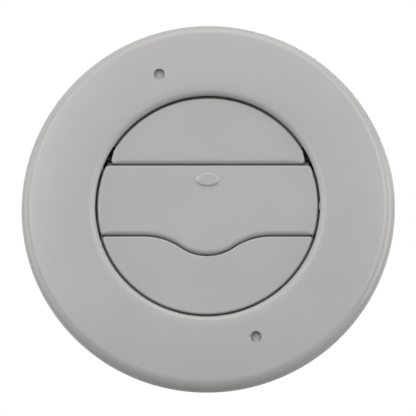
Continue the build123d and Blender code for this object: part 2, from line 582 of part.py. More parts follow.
PIECES = {
    "bezel": bezel(),
    "duct_collar": duct_collar(),
    "collar_screws": collar_screws(),
    "panel_gasket": panel_gasket(),
    "duct_seal": duct_seal(),
    "rotor_barrel": rotor_barrel(),
    "left_pivot_retainer": pivot_retainer(LEFT),
    "right_pivot_retainer": pivot_retainer(RIGHT),
    "upper_friction_bush": friction_bush(*BEARINGS["upper"]),
    "middle_friction_bush": friction_bush(*BEARINGS["middle"]),
    "lower_friction_bush": friction_bush(*BEARINGS["lower"]),
    "swivel_friction_ring": swivel_friction_ring(),
    "upper_blade": upper_blade(),
    "upper_pivot_pins": Compound(pivot_pins("upper")),
    "middle_blade": middle_blade(),
    "middle_pivot_pins": Compound(pivot_pins("middle")),
    "lower_blade": lower_blade(),
    "lower_pivot_pins": Compound(pivot_pins("lower")),
    "link_bar": link_bar(),
}

os.makedirs("parts", exist_ok=True)
for name, piece in PIECES.items():
    export_step(INSTALLED * piece, f"parts/{name}.step")
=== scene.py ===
"""Looks of the round dashboard air vent: smooth meshes, materials, light and camera."""
from math import asin, atan2, ceil, cos, degrees, hypot, pi, radians, sin, sqrt, tau

import bmesh
import bpy
from mathutils import Matrix, Vector


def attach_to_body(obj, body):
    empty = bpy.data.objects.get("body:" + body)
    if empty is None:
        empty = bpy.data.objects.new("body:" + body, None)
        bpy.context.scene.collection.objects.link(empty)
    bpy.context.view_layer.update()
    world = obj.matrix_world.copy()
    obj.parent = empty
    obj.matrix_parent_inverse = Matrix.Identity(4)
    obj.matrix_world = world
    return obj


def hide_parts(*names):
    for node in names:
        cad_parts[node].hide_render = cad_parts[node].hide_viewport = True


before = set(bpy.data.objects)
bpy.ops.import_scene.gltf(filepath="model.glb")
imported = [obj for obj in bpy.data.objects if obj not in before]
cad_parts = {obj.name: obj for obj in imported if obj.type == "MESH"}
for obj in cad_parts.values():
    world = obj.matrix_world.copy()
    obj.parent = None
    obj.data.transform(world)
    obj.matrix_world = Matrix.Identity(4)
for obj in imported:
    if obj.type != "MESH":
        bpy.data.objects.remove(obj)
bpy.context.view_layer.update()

# Sizes of the CAD model, in millimetres, drawn looking at the face:
# x right, y up, z out of the dashboard.
FLANGE_RADIUS = 50.0
FLANGE_HEIGHT = 4.8
CROWN_INNER = (33.2, 4.8)
CROWN_OUTER = (47.0, 4.0)
RIM_TOP = (49.8, 1.2)
LIP_LOW = (30.0, 3.3)
LIP_SHOULDER = (31.3, 4.62)
LIP_WALL = 30.5
LIP_BACK = 2.1
NUB_FRONT = 29.8
NUB_HALF_WIDTH = 0.9
SEAT_INNER = 47.6
SLEEVE_RADIUS = 38.2
BORE_RADIUS = 36.2
SLEEVE_END = -19.5
LUG_ANGLES = (90, 210, 330)
LUG_ARC = 22.0
LUG_ROOT = 1.0           # wall between the bore and a lug's root
LUG_RADIUS = 42.6
LUG_FRONT = -3.2
LUG_BACK = -5.6
LUG_RAMP_DROP = 0.9
LUG_RAMP_LENGTH = 4.0
SCREW_CIRCLE = 39.65
SCREW_BOSS = 2.95
BOSS_SETBACK = 0.5       # a screw boss ends this far behind the front of its lug
BOSS_WALL = 0.4          # and starts this far outside the bore
PILOT_RADIUS = 1.45
PILOT_DEPTH = 10.0
SCREW_ROOM = 0.15
SPANNER_CIRCLE = 38.05
SPANNER_ANGLE = 110.3
SPANNER_RADIUS = 1.5
SPANNER_DEPTH = 1.6
COLLAR_BACK = -21.5
EAR_WALL = 0.3           # an ear of the collar starts this far outside the bore
DUCT_RADIUS = 29.4
SPIGOT_RADIUS = 31.0
SPIGOT_END = -36.5
SPIGOT_LEAD = 0.8
SHOULDER_RADIUS = 32.8
SHOULDER_BACK = -24.5
FUNNEL_RADIUS = 34.05
FUNNEL_END = -24.5
BLADE_FACE = 3.2
BLADE_BACK = 1.2
BLADE_RADIUS = 29.4
SPLIT_GAP = 0.5
UPPER_SPLIT = 11.2
LOWER_SPLIT = -8.12
TAB_DEPTH = 5.3
TAB_HALF_WIDTH = 17.0
TAB_RADIUS = 12.4
RELIEF_CUT = 0.95
RELIEF_TOP = 15.0
SEAL_END = 16.4
SEAL_INNER = 27.4
UPPER_SEAL_RADIUS = 30.8
SEAL_RADIUS = 29.85
SEAL_FRONT = 1.7
LAP_CEILING = 2.0
LAP_ROOM = 0.7
LAP_OVERLAP = 0.4
LAP_ROOT = 1.0
OVAL = (6.4, 3.6, 0.45)
OVAL_POSITION = 7.1
PIVOT_PITCH = 13.5
PIVOT_Z = -0.2
PIN_RADIUS = 1.0
PIN_BOSS_RADIUS = 1.3
PIN_BOSS_LENGTH = 5.0
PIN_SEAT = 4.0
PIN_INSET = 0.6
CRANK_RADIUS = 15.0
CRANK_ANGLE = 45
CRANK_X = (8.0, 10.0)
CRANK_ROOT = 7.5
LINK_WIDTH = 4.2
LINK_PIN_RADIUS = 1.2
LINK_HEAD_RADIUS = 1.6
LINK_PIN_END = 12.3
LINK_HEAD_END = 13.2
GASKET = (39.2, 46.6, 0.1, 2.1)
DUCT_SEAL = (33.0, 36.45, -24.0, -21.5)

# Rounds and breaks of the edges, in millimetres
RIM_BACK_ROUND = 0.25
SEAT_ROUND = 0.2
HOLLOW_ROUND = 0.4
SLEEVE_ROUND = 0.3
LIP_BACK_ROUND = 0.1
BOSS_BREAK = 0.2
COLLAR_FRONT_ROUND = 0.2
COLLAR_BACK_ROUND = 0.3
SHOULDER_ROOT_ROUND = 0.1
SHOULDER_ROUND = 0.4
SPIGOT_ROUND = 0.3
MOUTH_ROUND = 0.2
FUNNEL_ROUND = 1.2
FOAM_ROUND = 0.3
SPANNER_TOP = 4.703      # height of the crown at the spanner holes
# The edge of a spanner hole: how much wider it gets, and where over the crown
SPANNER_BREAK = ((0.0, -0.12), (0.04, -0.04), (0.14, 0.02), (0.14, 1.0))
EDGE = 0.55              # front edge of a blade at the sides
LOW_EDGE = 1.25          # along its lower edge
HIGH_EDGE = 0.35         # along its upper edge
BACK_EDGE = 0.15         # round its back
EDGE_CHANGE = 2.0        # length over which one goes over into another
MITRE_LIMIT = 0.5        # keeps an edge from running far in at a sharp corner
CORNER = 0.9             # corner of a blade, seen from the front
HIGH_CORNER = CORNER * 0.75
CORNER_RUN = CORNER * 1.3    # length of a side that its corner takes up
CORNER_STEP = 1.2        # first point of a side after a sharp corner
FLANGE_PAST = 0.185      # flange of the middle blade, past the blade's side
LOW_FLANGE_PAST = 0.12   # the same on the lower blade
# The oval's edge: inset in millimetres, and rise as a share of the oval's height
OVAL_EDGE = ((0.0, -0.67), (0.0, 0.22), (0.04, 0.53), (0.14, 0.76), (0.32, 0.91), (0.58, 1.0))
OVAL_END_RUN = 2.2       # the inset is this many times longer at the oval's ends

# How shapes are put together, in millimetres
CUT_PAST = 1.0           # a cutter reaches this far past what it cuts
CUT_SIDE = 30.0          # half the width of a cut across a whole blade
BITE = 0.5               # an arm or a pin reaches this far into what carries it
WEB_BITE = 1.0
HEAD_BITE = 0.1
NEAR = 0.01              # points closer to a line than this lie on it
LONGEST_RUN = 1.5        # of a straight piece of a blade's outline

MM = 0.001
TURNS = 240
POST_POINTS = 64
ROD_POINTS = 48
OVAL_POINTS = 96
LUG_STEPS = 24
EDGE_STEPS = 7
BACK_EDGE_STEPS = 3
CREASE_ANGLE = 32
FOAM_CREASE_ANGLE = 60


# Meshes
def installed(x, y, z):
    """Place in the shared frame, in metres."""
    return Vector((x, -z, y)) * MM


def add(name, vertices, faces):
    """Closed mesh object with outward normals."""
    mesh = bpy.data.meshes.new(name)
    mesh.from_pydata(vertices, [], faces)
    made = bmesh.new()
    made.from_mesh(mesh)
    bmesh.ops.recalc_face_normals(made, faces=made.faces)
    made.to_mesh(mesh)
    made.free()
    piece = bpy.data.objects.new(name, mesh)
    bpy.context.scene.collection.objects.link(piece)
    return piece


def bands(count, pairs):
    """Faces between pairs of rings that have as many points each."""
    faces = []
    for here, there in pairs:
        for i in range(count):
            j = (i + 1) % count
            faces.append((here * count + i, here * count + j,
                          there * count + j, there * count + i))
    return faces


def lathe(name, outline):
    """Ring about the vent's axis from a closed outline of radius and z."""
    vertices = []
    for turn in range(TURNS):
        angle = tau * turn / TURNS
        vertices += [installed(r * cos(angle), r * sin(angle), z) for r, z in outline]
    pairs = [(turn, (turn + 1) % TURNS) for turn in range(TURNS)]
    return add(name, vertices, bands(len(outline), pairs))


def stack(name, rings):
    """Solid from rings with as many points each, closed by a face at both ends."""
    count = len(rings[0])
    vertices = [installed(*point) for ring in rings for point in ring]
    faces = bands(count, [(level, level + 1) for level in range(len(rings) - 1)])
    faces.append(tuple(range(count)))
    faces.append(tuple(range(len(vertices) - count, len(vertices))))
    return add(name, vertices, faces)


def circle(radius, count, middle):
    """Points round a circle."""
    angles = [tau * i / count for i in range(count)]
    return [(middle[0] + radius * cos(a), middle[1] + radius * sin(a)) for a in angles]


def prism(name, points, x_range):
    """Outline of y and z drawn out along x."""
    return stack(name, [[(x, p, q) for p, q in points] for x in x_range])


def rod(name, radius, x_range, y, z):
    """Cylinder along x."""
    return prism(name, circle(radius, ROD_POINTS, (y, z)), x_range)


def post(name, radii, middle, count=POST_POINTS):
    """Round post along z, from pairs of radius and z."""
    return stack(name, [[(x, y, z) for x, y in circle(r, count, middle)] for r, z in radii])


def slab(name, points, z_range):
    """Outline of x and y drawn out along z."""
    return stack(name, [[(x, y, z) for x, y in points] for z in z_range])


def discard(piece):
    """Removes a piece with its mesh."""
    used = piece.data
    bpy.data.objects.remove(piece)
    bpy.data.meshes.remove(used)


def combine(piece, tool, operation):
    """Joins tool to piece, or cuts it away, for good."""
    step = piece.modifiers.new("combine", "BOOLEAN")
    step.object = tool
    step.operation = operation
    step.solver = "EXACT"
    graph = bpy.context.evaluated_depsgraph_get()
    mesh = bpy.data.meshes.new_from_object(piece.evaluated_get(graph))
    piece.modifiers.clear()
    old = piece.data
    piece.data = mesh
    bpy.data.meshes.remove(old)
    discard(tool)


def attach(piece, extra):
    """Adds a closed shell that stands in the piece, for good."""
    both = bmesh.new()
    both.from_mesh(piece.data)
    both.from_mesh(extra.data)
    both.to_mesh(piece.data)
    both.free()
    discard(extra)


def smooth(piece, angle):
    """Smooth shading with flat faces kept flat, and creases above that angle."""
    piece.data.shade_smooth()
    piece.data.set_sharp_from_angle(angle=radians(angle))
    flat = piece.modifiers.new("flat_faces", "WEIGHTED_NORMAL")
    flat.keep_sharp = True


# Outlines
def arc(middle, radius, start, end, count):
    """Points along an arc, with both ends."""
    step = (end - start) / (count - 1)
    angles = [radians(start + i * step) for i in range(count)]
    return [(middle[0] + radius * cos(a), middle[1] + radius * sin(a)) for a in angles]


def vent_arc(radius, start, end, count):
    """Points along an arc about the vent's axis."""
    return arc((0, 0), radius, start, end, count)


def tangent_arc(start, heading, end, count):
    """Arc that leaves start along heading and reaches end, without its first point."""
    chord = hypot(end[0] - start[0], end[1] - start[1])
    bearing = degrees(atan2(end[1] - start[1], end[0] - start[0]))
    turn = 2 * ((bearing - heading + 180) % 360 - 180)
    radius = chord / (2 * sin(radians(turn / 2)))
    middle = (start[0] - radius * sin(radians(heading)),
              start[1] + radius * cos(radians(heading)))
    points = arc(middle, radius, heading - 90, heading - 90 + turn, count)
    return points[1:]


def round_corners(points, steps=6):
    """Closed outline from points with a corner radius each."""
    made = []
    count = len(points)
    for i, (x, y, radius) in enumerate(points):
        here = Vector((x, y))
        if not radius:
            made.append((x, y))
            continue
        before = (Vector(points[i - 1][:2]) - here).normalized()
        after = (Vector(points[(i + 1) % count][:2]) - here).normalized()
        half = before.angle(after) / 2
        run = radius / sin(half) * cos(half)
        middle = here + (before + after).normalized() * radius / sin(half)
        first = here + before * run - middle
        last = here + after * run - middle
        sweep = atan2(first.x * last.y - first.y * last.x, first.dot(last))
        for step in range(steps + 1):
            turn = Matrix.Rotation(sweep * step / steps, 2)
            spot = middle + turn @ first
            made.append((spot.x, spot.y))
    return made


def subdivide(outline):
    """Closed outline with its long straight runs split."""
    made = []
    for i, (x, y) in enumerate(outline):
        far_x, far_y = outline[(i + 1) % len(outline)]
        parts = ceil(hypot(far_x - x, far_y - y) / LONGEST_RUN)
        made += [(x + (far_x - x) * k / parts, y + (far_y - y) * k / parts)
                 for k in range(parts)]
    return made


def half_chord(radius, height):
    """Half the width of a circle at a height above its middle."""
    return sqrt(radius**2 - height**2)


def rise_angle(height, radius):
    """Angle at which a circle reaches a height above its middle."""
    return degrees(asin(height / radius))


# Front ring with its sleeve
def build_lug(angle):
    """Bayonet lug with its lead-in, from columns of points round the sleeve."""
    lug_end = LUG_RADIUS * sin(radians(LUG_ARC / 2))
    columns = []
    for step in range(LUG_STEPS + 1):
        turn = LUG_ARC * (step / LUG_STEPS - 0.5)
        column = []
        for radius in (BORE_RADIUS + LUG_ROOT, LUG_RADIUS):
            past = radius * sin(radians(turn)) - lug_end + LUG_RAMP_LENGTH
            front = LUG_FRONT - LUG_RAMP_DROP * max(0, past) / LUG_RAMP_LENGTH
            x, y = radius * cos(radians(angle + turn)), radius * sin(radians(angle + turn))
            column += [(x, y, LUG_BACK), (x, y, front)]
        columns.append([column[0], column[1], column[3], column[2]])
    return stack("lug", columns)


def bezel_outline():
    """Section of the ring, from the lip over the crown and the rim to the sleeve."""
    shoulder_fall = CROWN_INNER[1] - LIP_SHOULDER[1]
    fall = 2 * degrees(atan2(shoulder_fall, CROWN_INNER[0] - LIP_SHOULDER[0]))
    lip = [CROWN_INNER] + tangent_arc(CROWN_INNER, 180, LIP_SHOULDER, count=9)
    lip += tangent_arc(LIP_SHOULDER, 180 + fall, LIP_LOW, count=21)
    lip.reverse()
    span, drop = CROWN_OUTER[0] - CROWN_INNER[0], CROWN_INNER[1] - CROWN_OUTER[1]
    crown_radius = (span**2 + drop**2) / (2 * drop)
    slope = rise_angle(span, crown_radius)
    crown_middle = (CROWN_INNER[0], CROWN_INNER[1] - crown_radius)
    crown = arc(crown_middle, crown_radius, 90, 90 - slope, count=15)[1:]
    rim = tangent_arc(CROWN_OUTER, -slope, RIM_TOP, count=20)
    back = round_corners([
        (*RIM_TOP, 0),
        (FLANGE_RADIUS, 0, RIM_BACK_ROUND),
        (SEAT_INNER, 0, SEAT_ROUND),
        (SEAT_INNER, LIP_BACK, HOLLOW_ROUND),
        (SLEEVE_RADIUS, LIP_BACK, HOLLOW_ROUND),
        (SLEEVE_RADIUS, SLEEVE_END, SLEEVE_ROUND),
        (BORE_RADIUS, SLEEVE_END, SLEEVE_ROUND),
        (BORE_RADIUS, LIP_BACK, SLEEVE_ROUND),
        (LIP_WALL, LIP_BACK, LIP_BACK_ROUND),
        (*LIP_LOW, 0)], steps=4)
    return lip + crown + rim + back[1:-1]


def build_bezel():
    piece = lathe("bezel_body", bezel_outline())
    cut_start = SLEEVE_END - CUT_PAST
    for angle in LUG_ANGLES:
        combine(piece, build_lug(angle), "UNION")
        middle = (SCREW_CIRCLE * cos(radians(angle)), SCREW_CIRCLE * sin(radians(angle)))
        boss = post("boss", ((SCREW_BOSS - BOSS_BREAK, SLEEVE_END),
                             (SCREW_BOSS, SLEEVE_END + BOSS_BREAK),
                             (SCREW_BOSS, LUG_FRONT - BOSS_SETBACK)), middle)
        bore = post("bore", ((BORE_RADIUS + BOSS_WALL, cut_start),
                             (BORE_RADIUS + BOSS_WALL, LUG_FRONT)), (0, 0), TURNS)
        combine(boss, bore, "DIFFERENCE")
        combine(piece, boss, "UNION")
        pilot = post("pilot", ((PILOT_RADIUS, cut_start),
                               (PILOT_RADIUS, SLEEVE_END + PILOT_DEPTH)), middle)
        combine(piece, pilot, "DIFFERENCE")
    for turn in (0, 180):
        angle = radians(SPANNER_ANGLE + turn)
        middle = (SPANNER_CIRCLE * cos(angle), SPANNER_CIRCLE * sin(angle))
        radii = [(SPANNER_RADIUS, FLANGE_HEIGHT - SPANNER_DEPTH)]
        radii += [(SPANNER_RADIUS + wider, SPANNER_TOP + rise) for wider, rise in SPANNER_BREAK]
        combine(piece, post("hole", radii, middle), "DIFFERENCE")
    nub = [(NUB_FRONT, -NUB_HALF_WIDTH), (LIP_WALL, -NUB_HALF_WIDTH),
           (LIP_WALL, NUB_HALF_WIDTH), (NUB_FRONT, NUB_HALF_WIDTH)]
    combine(piece, slab("nub", nub, (LIP_BACK, LIP_LOW[1])), "UNION")
    return piece


# Blades
def tab_line(shift):
    """Wavy line under the middle blade, from left to right."""
    y_flat = LOWER_SPLIT + shift
    radius_sum = (TAB_HALF_WIDTH**2 + TAB_DEPTH**2) / (2 * TAB_DEPTH)
    shoulder = radius_sum - TAB_RADIUS
    lean = rise_angle(TAB_HALF_WIDTH, radius_sum)
    tip_middle = (0, y_flat - TAB_DEPTH + TAB_RADIUS)
    left = arc((-TAB_HALF_WIDTH, y_flat - shoulder), shoulder, 90, 90 - lean, count=25)
    tip = arc(tip_middle, TAB_RADIUS, 270 - lean, 270 + lean, count=41)
    right = arc((TAB_HALF_WIDTH, y_flat - shoulder), shoulder, 90 + lean, 90, count=25)
    return left + tip[1:-1] + right


def edge_round(far_round, to_corner):
    """Radius of an edge at a distance from the corner, where it is that of the sides."""
    return EDGE + (far_round - EDGE) * max(0, min(1, to_corner / EDGE_CHANGE))


def plate(name, outline, rounds):
    """Flat blade with a rounded front edge.

    The outline runs anticlockwise, and rounds has the edge's radius at each of its points.
    """
    count = len(outline)
    points = [Vector(p) for p in outline]
    inward = []
    for i, here in enumerate(points):
        before = (here - points[i - 1]).normalized()
        after = (points[(i + 1) % count] - here).normalized()
        normal = Vector((-before.y - after.y, before.x + after.x)).normalized()
        lean = max(MITRE_LIMIT, normal.dot(Vector((-after.y, after.x))))
        inward.append(normal / lean)
    rings = []
    for step in range(BACK_EDGE_STEPS + 1):
        a = pi / 2 * step / BACK_EDGE_STEPS
        inset, rise = BACK_EDGE * (1 - sin(a)), BACK_EDGE * (1 - cos(a))
        rings.append([(p.x + n.x * inset, p.y + n.y * inset, BLADE_BACK + rise)
                      for p, n in zip(points, inward)])
    for step in range(EDGE_STEPS + 1):
        a = pi / 2 * step / EDGE_STEPS
        inset, fall = 1 - cos(a), 1 - sin(a)
        rings.append([(p.x + n.x * r * inset, p.y + n.y * r * inset, BLADE_FACE - r * fall)
                      for p, n, r in zip(points, inward, rounds)])
    return stack(name, rings)


def add_pin_bosses(piece, height, root):
    """Bosses that hold the pivot pins, on webs."""
    low, high = height - PIN_BOSS_RADIUS, height + PIN_BOSS_RADIUS
    web_top = BLADE_BACK + WEB_BITE
    web = [(low, PIVOT_Z), (high, PIVOT_Z), (high, web_top), (low, web_top)]
    for side in (-1, 1):
        xs = sorted((side * (root - PIN_BOSS_LENGTH), side * root))
        combine(piece, prism("web", web, xs), "UNION")
        combine(piece, rod("boss", PIN_BOSS_RADIUS, xs, height, PIVOT_Z), "UNION")
        seat = sorted((side * (root - PIN_SEAT), side * (root + CUT_PAST)))
        combine(piece, rod("seat", PIN_RADIUS, seat, height, PIVOT_Z), "DIFFERENCE")


def add_flange(piece, radius, start, end, half_width):
    """Thin flange round the back of a blade, between two angles."""
    outer = vent_arc(radius, start, end, count=121)
    inner = vent_arc(SEAL_INNER, end, start, count=121)
    points = [(max(-half_width, min(half_width, x)), y) for x, y in outer + inner]
    combine(piece, slab("flange", points, (BLADE_BACK, SEAL_FRONT)), "UNION")


def add_crank(piece, height):
    """Arm on the back of a blade with the pin of the link bar."""
    reach = CRANK_RADIUS * cos(radians(CRANK_ANGLE))
    pin_y, pin_z = height + reach, PIVOT_Z - reach
    eye = LINK_WIDTH / 2
    across = eye * cos(radians(CRANK_ANGLE))
    root_low = height - eye / 2
    root_high = root_low + CRANK_ROOT
    end = arc((pin_y, pin_z), eye, CRANK_ANGLE, CRANK_ANGLE - 180, count=25)
    arm = [(root_low, BLADE_BACK + BITE), (root_low, BLADE_BACK),
           (pin_y - across, pin_z - across)]
    arm += end[::-1][1:-1]
    arm += [(pin_y + across, pin_z + across),
            (root_high, BLADE_BACK), (root_high, BLADE_BACK + BITE)]
    combine(piece, prism("arm", arm, CRANK_X), "UNION")
    pin_x = (CRANK_X[1] - BITE, LINK_PIN_END + HEAD_BITE)
    combine(piece, rod("link_pin", LINK_PIN_RADIUS, pin_x, pin_y, pin_z), "UNION")
    head_x = (LINK_PIN_END, LINK_HEAD_END)
    combine(piece, rod("link_head", LINK_HEAD_RADIUS, head_x, pin_y, pin_z), "UNION")


def cut_lap_room(piece, line):
    """Room behind a lower edge for the strip of the blade below it."""
    room = [(x, y - CUT_PAST) for x, y in line] + [(x, y + LAP_ROOM) for x, y in line[::-1]]
    combine(piece, slab("room", room, (BLADE_BACK - CUT_PAST, LAP_CEILING)), "DIFFERENCE")


def build_upper_blade():
    low = UPPER_SPLIT + SPLIT_GAP / 2
    low_side = half_chord(BLADE_RADIUS, low) - RELIEF_CUT
    side = half_chord(BLADE_RADIUS, RELIEF_TOP)
    start = rise_angle(RELIEF_TOP, BLADE_RADIUS)
    corners = round_corners([(side, RELIEF_TOP, 0), (-side, RELIEF_TOP, 0),
                             (-low_side, low, CORNER), (low_side, low, CORNER)])
    outline = subdivide(corners[2:] + vent_arc(BLADE_RADIUS, start, 180 - start, count=97))
    rounds = []
    for x, y in outline:
        if y < low + NEAR:
            rounds.append(edge_round(LOW_EDGE, low_side - CORNER - abs(x)))
        else:
            rounds.append(EDGE)
    piece = plate("upper_blade_body", outline, rounds)
    cut_lap_room(piece, [(-CUT_SIDE, low), (CUT_SIDE, low)])
    seal_start = rise_angle(SEAL_END, UPPER_SEAL_RADIUS)
    inner_start = rise_angle(SEAL_END, SEAL_INNER)
    seal = vent_arc(UPPER_SEAL_RADIUS, seal_start, 180 - seal_start, count=97)
    seal += vent_arc(SEAL_INNER, 180 - inner_start, inner_start, count=97)
    combine(piece, slab("seal", seal, (BLADE_BACK, SEAL_FRONT)), "UNION")
    add_pin_bosses(piece, PIVOT_PITCH, side - PIN_INSET)
    add_crank(piece, PIVOT_PITCH)
    return piece


def build_oval():
    """Raised thumb mark."""
    length, width, height = OVAL
    turns = [tau * i / OVAL_POINTS for i in range(OVAL_POINTS)]
    rings = []
    for inset, rise in OVAL_EDGE:
        a, b = length / 2 - inset * OVAL_END_RUN, width / 2 - inset
        rings.append([(a * cos(t), OVAL_POSITION + b * sin(t), BLADE_FACE + rise * height)
                      for t in turns])
    return stack("oval", rings)


def build_middle_blade():
    high = UPPER_SPLIT - SPLIT_GAP / 2
    wave = tab_line(SPLIT_GAP / 2)
    y_flat = wave[0][1]
    low_side = half_chord(BLADE_RADIUS, y_flat)
    high_side = half_chord(BLADE_RADIUS, high)
    start = rise_angle(y_flat, BLADE_RADIUS) + degrees(CORNER_STEP / BLADE_RADIUS)
    end = rise_angle(high, BLADE_RADIUS) - degrees(CORNER / BLADE_RADIUS)
    right = [(low_side, y_flat)] + vent_arc(BLADE_RADIUS, start, end, count=41)
    side_x, side_y = right[-1]
    cap = round_corners([(side_x, side_y, 0), (high_side, high, HIGH_CORNER),
                         (-high_side, high, HIGH_CORNER), (-side_x, side_y, 0)])[1:-1]
    left = [(-x, y) for x, y in right[::-1]]
    outline = subdivide(right + cap + left + wave)
    rounds = []
    for x, y in outline:
        if y < y_flat + NEAR:
            rounds.append(edge_round(LOW_EDGE, low_side - abs(x)))
        elif y > high - NEAR:
            rounds.append(edge_round(HIGH_EDGE, high_side - CORNER - abs(x)))
        else:
            rounds.append(EDGE)
    piece = plate("middle_blade_body", outline, rounds)
    cut_lap_room(piece, [(-CUT_SIDE, y_flat)] + wave + [(CUT_SIDE, y_flat)])
    top = high + SPLIT_GAP + LAP_OVERLAP
    half = half_chord(BLADE_RADIUS, top)
    strip = [(-half, high - LAP_ROOT), (half, high - LAP_ROOT), (half, top), (-half, top)]
    combine(piece, slab("strip", strip, (BLADE_BACK, SEAL_FRONT)), "UNION")
    start = rise_angle(y_flat + LAP_ROOM, SEAL_RADIUS)
    end = rise_angle(high - CORNER, SEAL_RADIUS)
    for first, last in ((start, end), (180 - end, 180 - start)):
        add_flange(piece, SEAL_RADIUS, first, last, BLADE_RADIUS + FLANGE_PAST)
    add_pin_bosses(piece, 0.0, BLADE_RADIUS - PIN_INSET)
    add_crank(piece, 0.0)
    attach(piece, build_oval())
    return piece


def build_lower_blade():
    wave = tab_line(-SPLIT_GAP / 2)
    y_flat = wave[0][1]
    high_side = half_chord(BLADE_RADIUS, y_flat)
    end = rise_angle(y_flat, BLADE_RADIUS)
    skip = degrees(CORNER_RUN / BLADE_RADIUS)
    bottom = vent_arc(BLADE_RADIUS, -180 - end + skip, end - skip, count=161)
    right = round_corners([(*bottom[-1], 0), (high_side, y_flat, HIGH_CORNER),
                           (high_side - CORNER_STEP, y_flat, 0)])[1:-1]
    left = [(-x, y) for x, y in right[::-1]]
    outline = subdivide(bottom + right + wave[::-1] + left)
    rounds = []
    for x, y in outline:
        if hypot(x, y) > BLADE_RADIUS - NEAR:
            rounds.append(EDGE)
        else:
            rounds.append(edge_round(HIGH_EDGE, high_side - CORNER - abs(x)))
    piece = plate("lower_blade_body", outline, rounds)
    line = [(-high_side, y_flat)] + wave + [(high_side, y_flat)]
    strip = [(x, y - LAP_ROOT) for x, y in line]
    strip += [(x, y + SPLIT_GAP + LAP_OVERLAP) for x, y in line[::-1]]
    combine(piece, slab("strip", strip, (BLADE_BACK, SEAL_FRONT)), "UNION")
    start = rise_angle(y_flat - CORNER, SEAL_RADIUS)
    add_flange(piece, SEAL_RADIUS, -180 - start, start, high_side + LOW_FLANGE_PAST)
    add_pin_bosses(piece, -PIVOT_PITCH, half_chord(BLADE_RADIUS, PIVOT_PITCH) - PIN_INSET)
    add_crank(piece, -PIVOT_PITCH)
    return piece


# Rear pieces
def build_collar():
    outline = round_corners([
        (SLEEVE_RADIUS, SLEEVE_END, COLLAR_FRONT_ROUND),
        (SLEEVE_RADIUS, COLLAR_BACK, COLLAR_BACK_ROUND),
        (SHOULDER_RADIUS, COLLAR_BACK, SHOULDER_ROOT_ROUND),
        (SHOULDER_RADIUS, SHOULDER_BACK, SHOULDER_ROUND),
        (SPIGOT_RADIUS, SHOULDER_BACK, SPIGOT_ROUND),
        (SPIGOT_RADIUS, SPIGOT_END + SPIGOT_LEAD, SPIGOT_ROUND),
        (SPIGOT_RADIUS - SPIGOT_LEAD, SPIGOT_END, MOUTH_ROUND),
        (DUCT_RADIUS, SPIGOT_END, MOUTH_ROUND),
        (DUCT_RADIUS, FUNNEL_END, FUNNEL_ROUND),
        (FUNNEL_RADIUS, SLEEVE_END, 0)], steps=5)
    piece = lathe("duct_collar_body", outline)
    ear_start = BORE_RADIUS + EAR_WALL
    ear = [(ear_start, -SCREW_BOSS), (SCREW_CIRCLE, -SCREW_BOSS)]
    ear += arc((SCREW_CIRCLE, 0), SCREW_BOSS, -90, 90, count=25)[1:-1]
    ear += [(SCREW_CIRCLE, SCREW_BOSS), (ear_start, SCREW_BOSS)]
    hole_radius = PILOT_RADIUS + SCREW_ROOM
    for angle in LUG_ANGLES:
        turn = Matrix.Rotation(radians(angle), 2)
        points = [tuple(turn @ Vector(p)) for p in ear]
        combine(piece, slab("ear", points, (COLLAR_BACK, SLEEVE_END)), "UNION")
        middle = tuple(turn @ Vector((SCREW_CIRCLE, 0)))
        hole = post("hole", ((hole_radius, COLLAR_BACK - CUT_PAST),
                             (hole_radius, SLEEVE_END + CUT_PAST)), middle)
        combine(piece, hole, "DIFFERENCE")
    return piece


def build_foam(name, sizes):
    inner, outer, back, front = sizes
    corners = ((inner, back), (outer, back), (outer, front), (inner, front))
    return lathe(name, round_corners([(r, z, FOAM_ROUND) for r, z in corners], steps=5))


# Materials
BLACK = (0.012, 0.012, 0.013)
SOFT_BLACK = (0.022, 0.022, 0.023)
# Painted shade: near-black tones for the back of a blade, which darken the gaps between the
# blades
BACK_SHADE = (0.125, 0.117, 0.104)
BACK_SHADE_LIGHT = (0.155, 0.147, 0.134)
SHADE_DEPTH = 2.0          # painted shade: a blade goes near-black behind this depth, darkening the gaps between blades
SHADE_FADE = 0.15
TONE_SPAN = (0.3, 0.7)   # where the noise goes from the dark tone to the light one
GLOSS_SPREAD = 0.05
GREY_GRAIN = {"grain": 2600, "bump": 0.12, "depth": 0.00004}


def tone_ramp(nodes, dark, light):
    """Ramp between two close tones."""
    tone = nodes.new("ShaderNodeValToRGB")
    for stop, place, colour in zip(tone.color_ramp.elements, TONE_SPAN, (dark, light)):
        stop.position = place
        stop.color = (*colour, 1)
    return tone


def noise(nodes, links, place, scale, detail):
    """Noise that stays with the piece when it moves."""
    made = nodes.new("ShaderNodeTexNoise")
    made.inputs["Scale"].default_value = scale
    made.inputs["Detail"].default_value = detail
    links.new(place.outputs["Object"], made.inputs["Vector"])
    return made


def shade_blade_back(nodes, links, place, front_tone, shade_tone):
    """Painted shade: the blade's own tone in front and near-black behind, which darkens the
    gaps between blades.
    """
    depth = nodes.new("ShaderNodeSeparateXYZ")
    links.new(place.outputs["Object"], depth.inputs["Vector"])
    behind = nodes.new("ShaderNodeMapRange")
    behind.inputs["From Min"].default_value = -SHADE_DEPTH * MM
    behind.inputs["From Max"].default_value = (SHADE_FADE - SHADE_DEPTH) * MM
    links.new(depth.outputs["Y"], behind.inputs["Value"])
    shaded_tone = nodes.new("ShaderNodeMixRGB")
    links.new(behind.outputs["Result"], shaded_tone.inputs["Fac"])
    links.new(front_tone.outputs["Color"], shaded_tone.inputs["Color1"])
    links.new(shade_tone.outputs["Color"], shaded_tone.inputs["Color2"])
    return shaded_tone


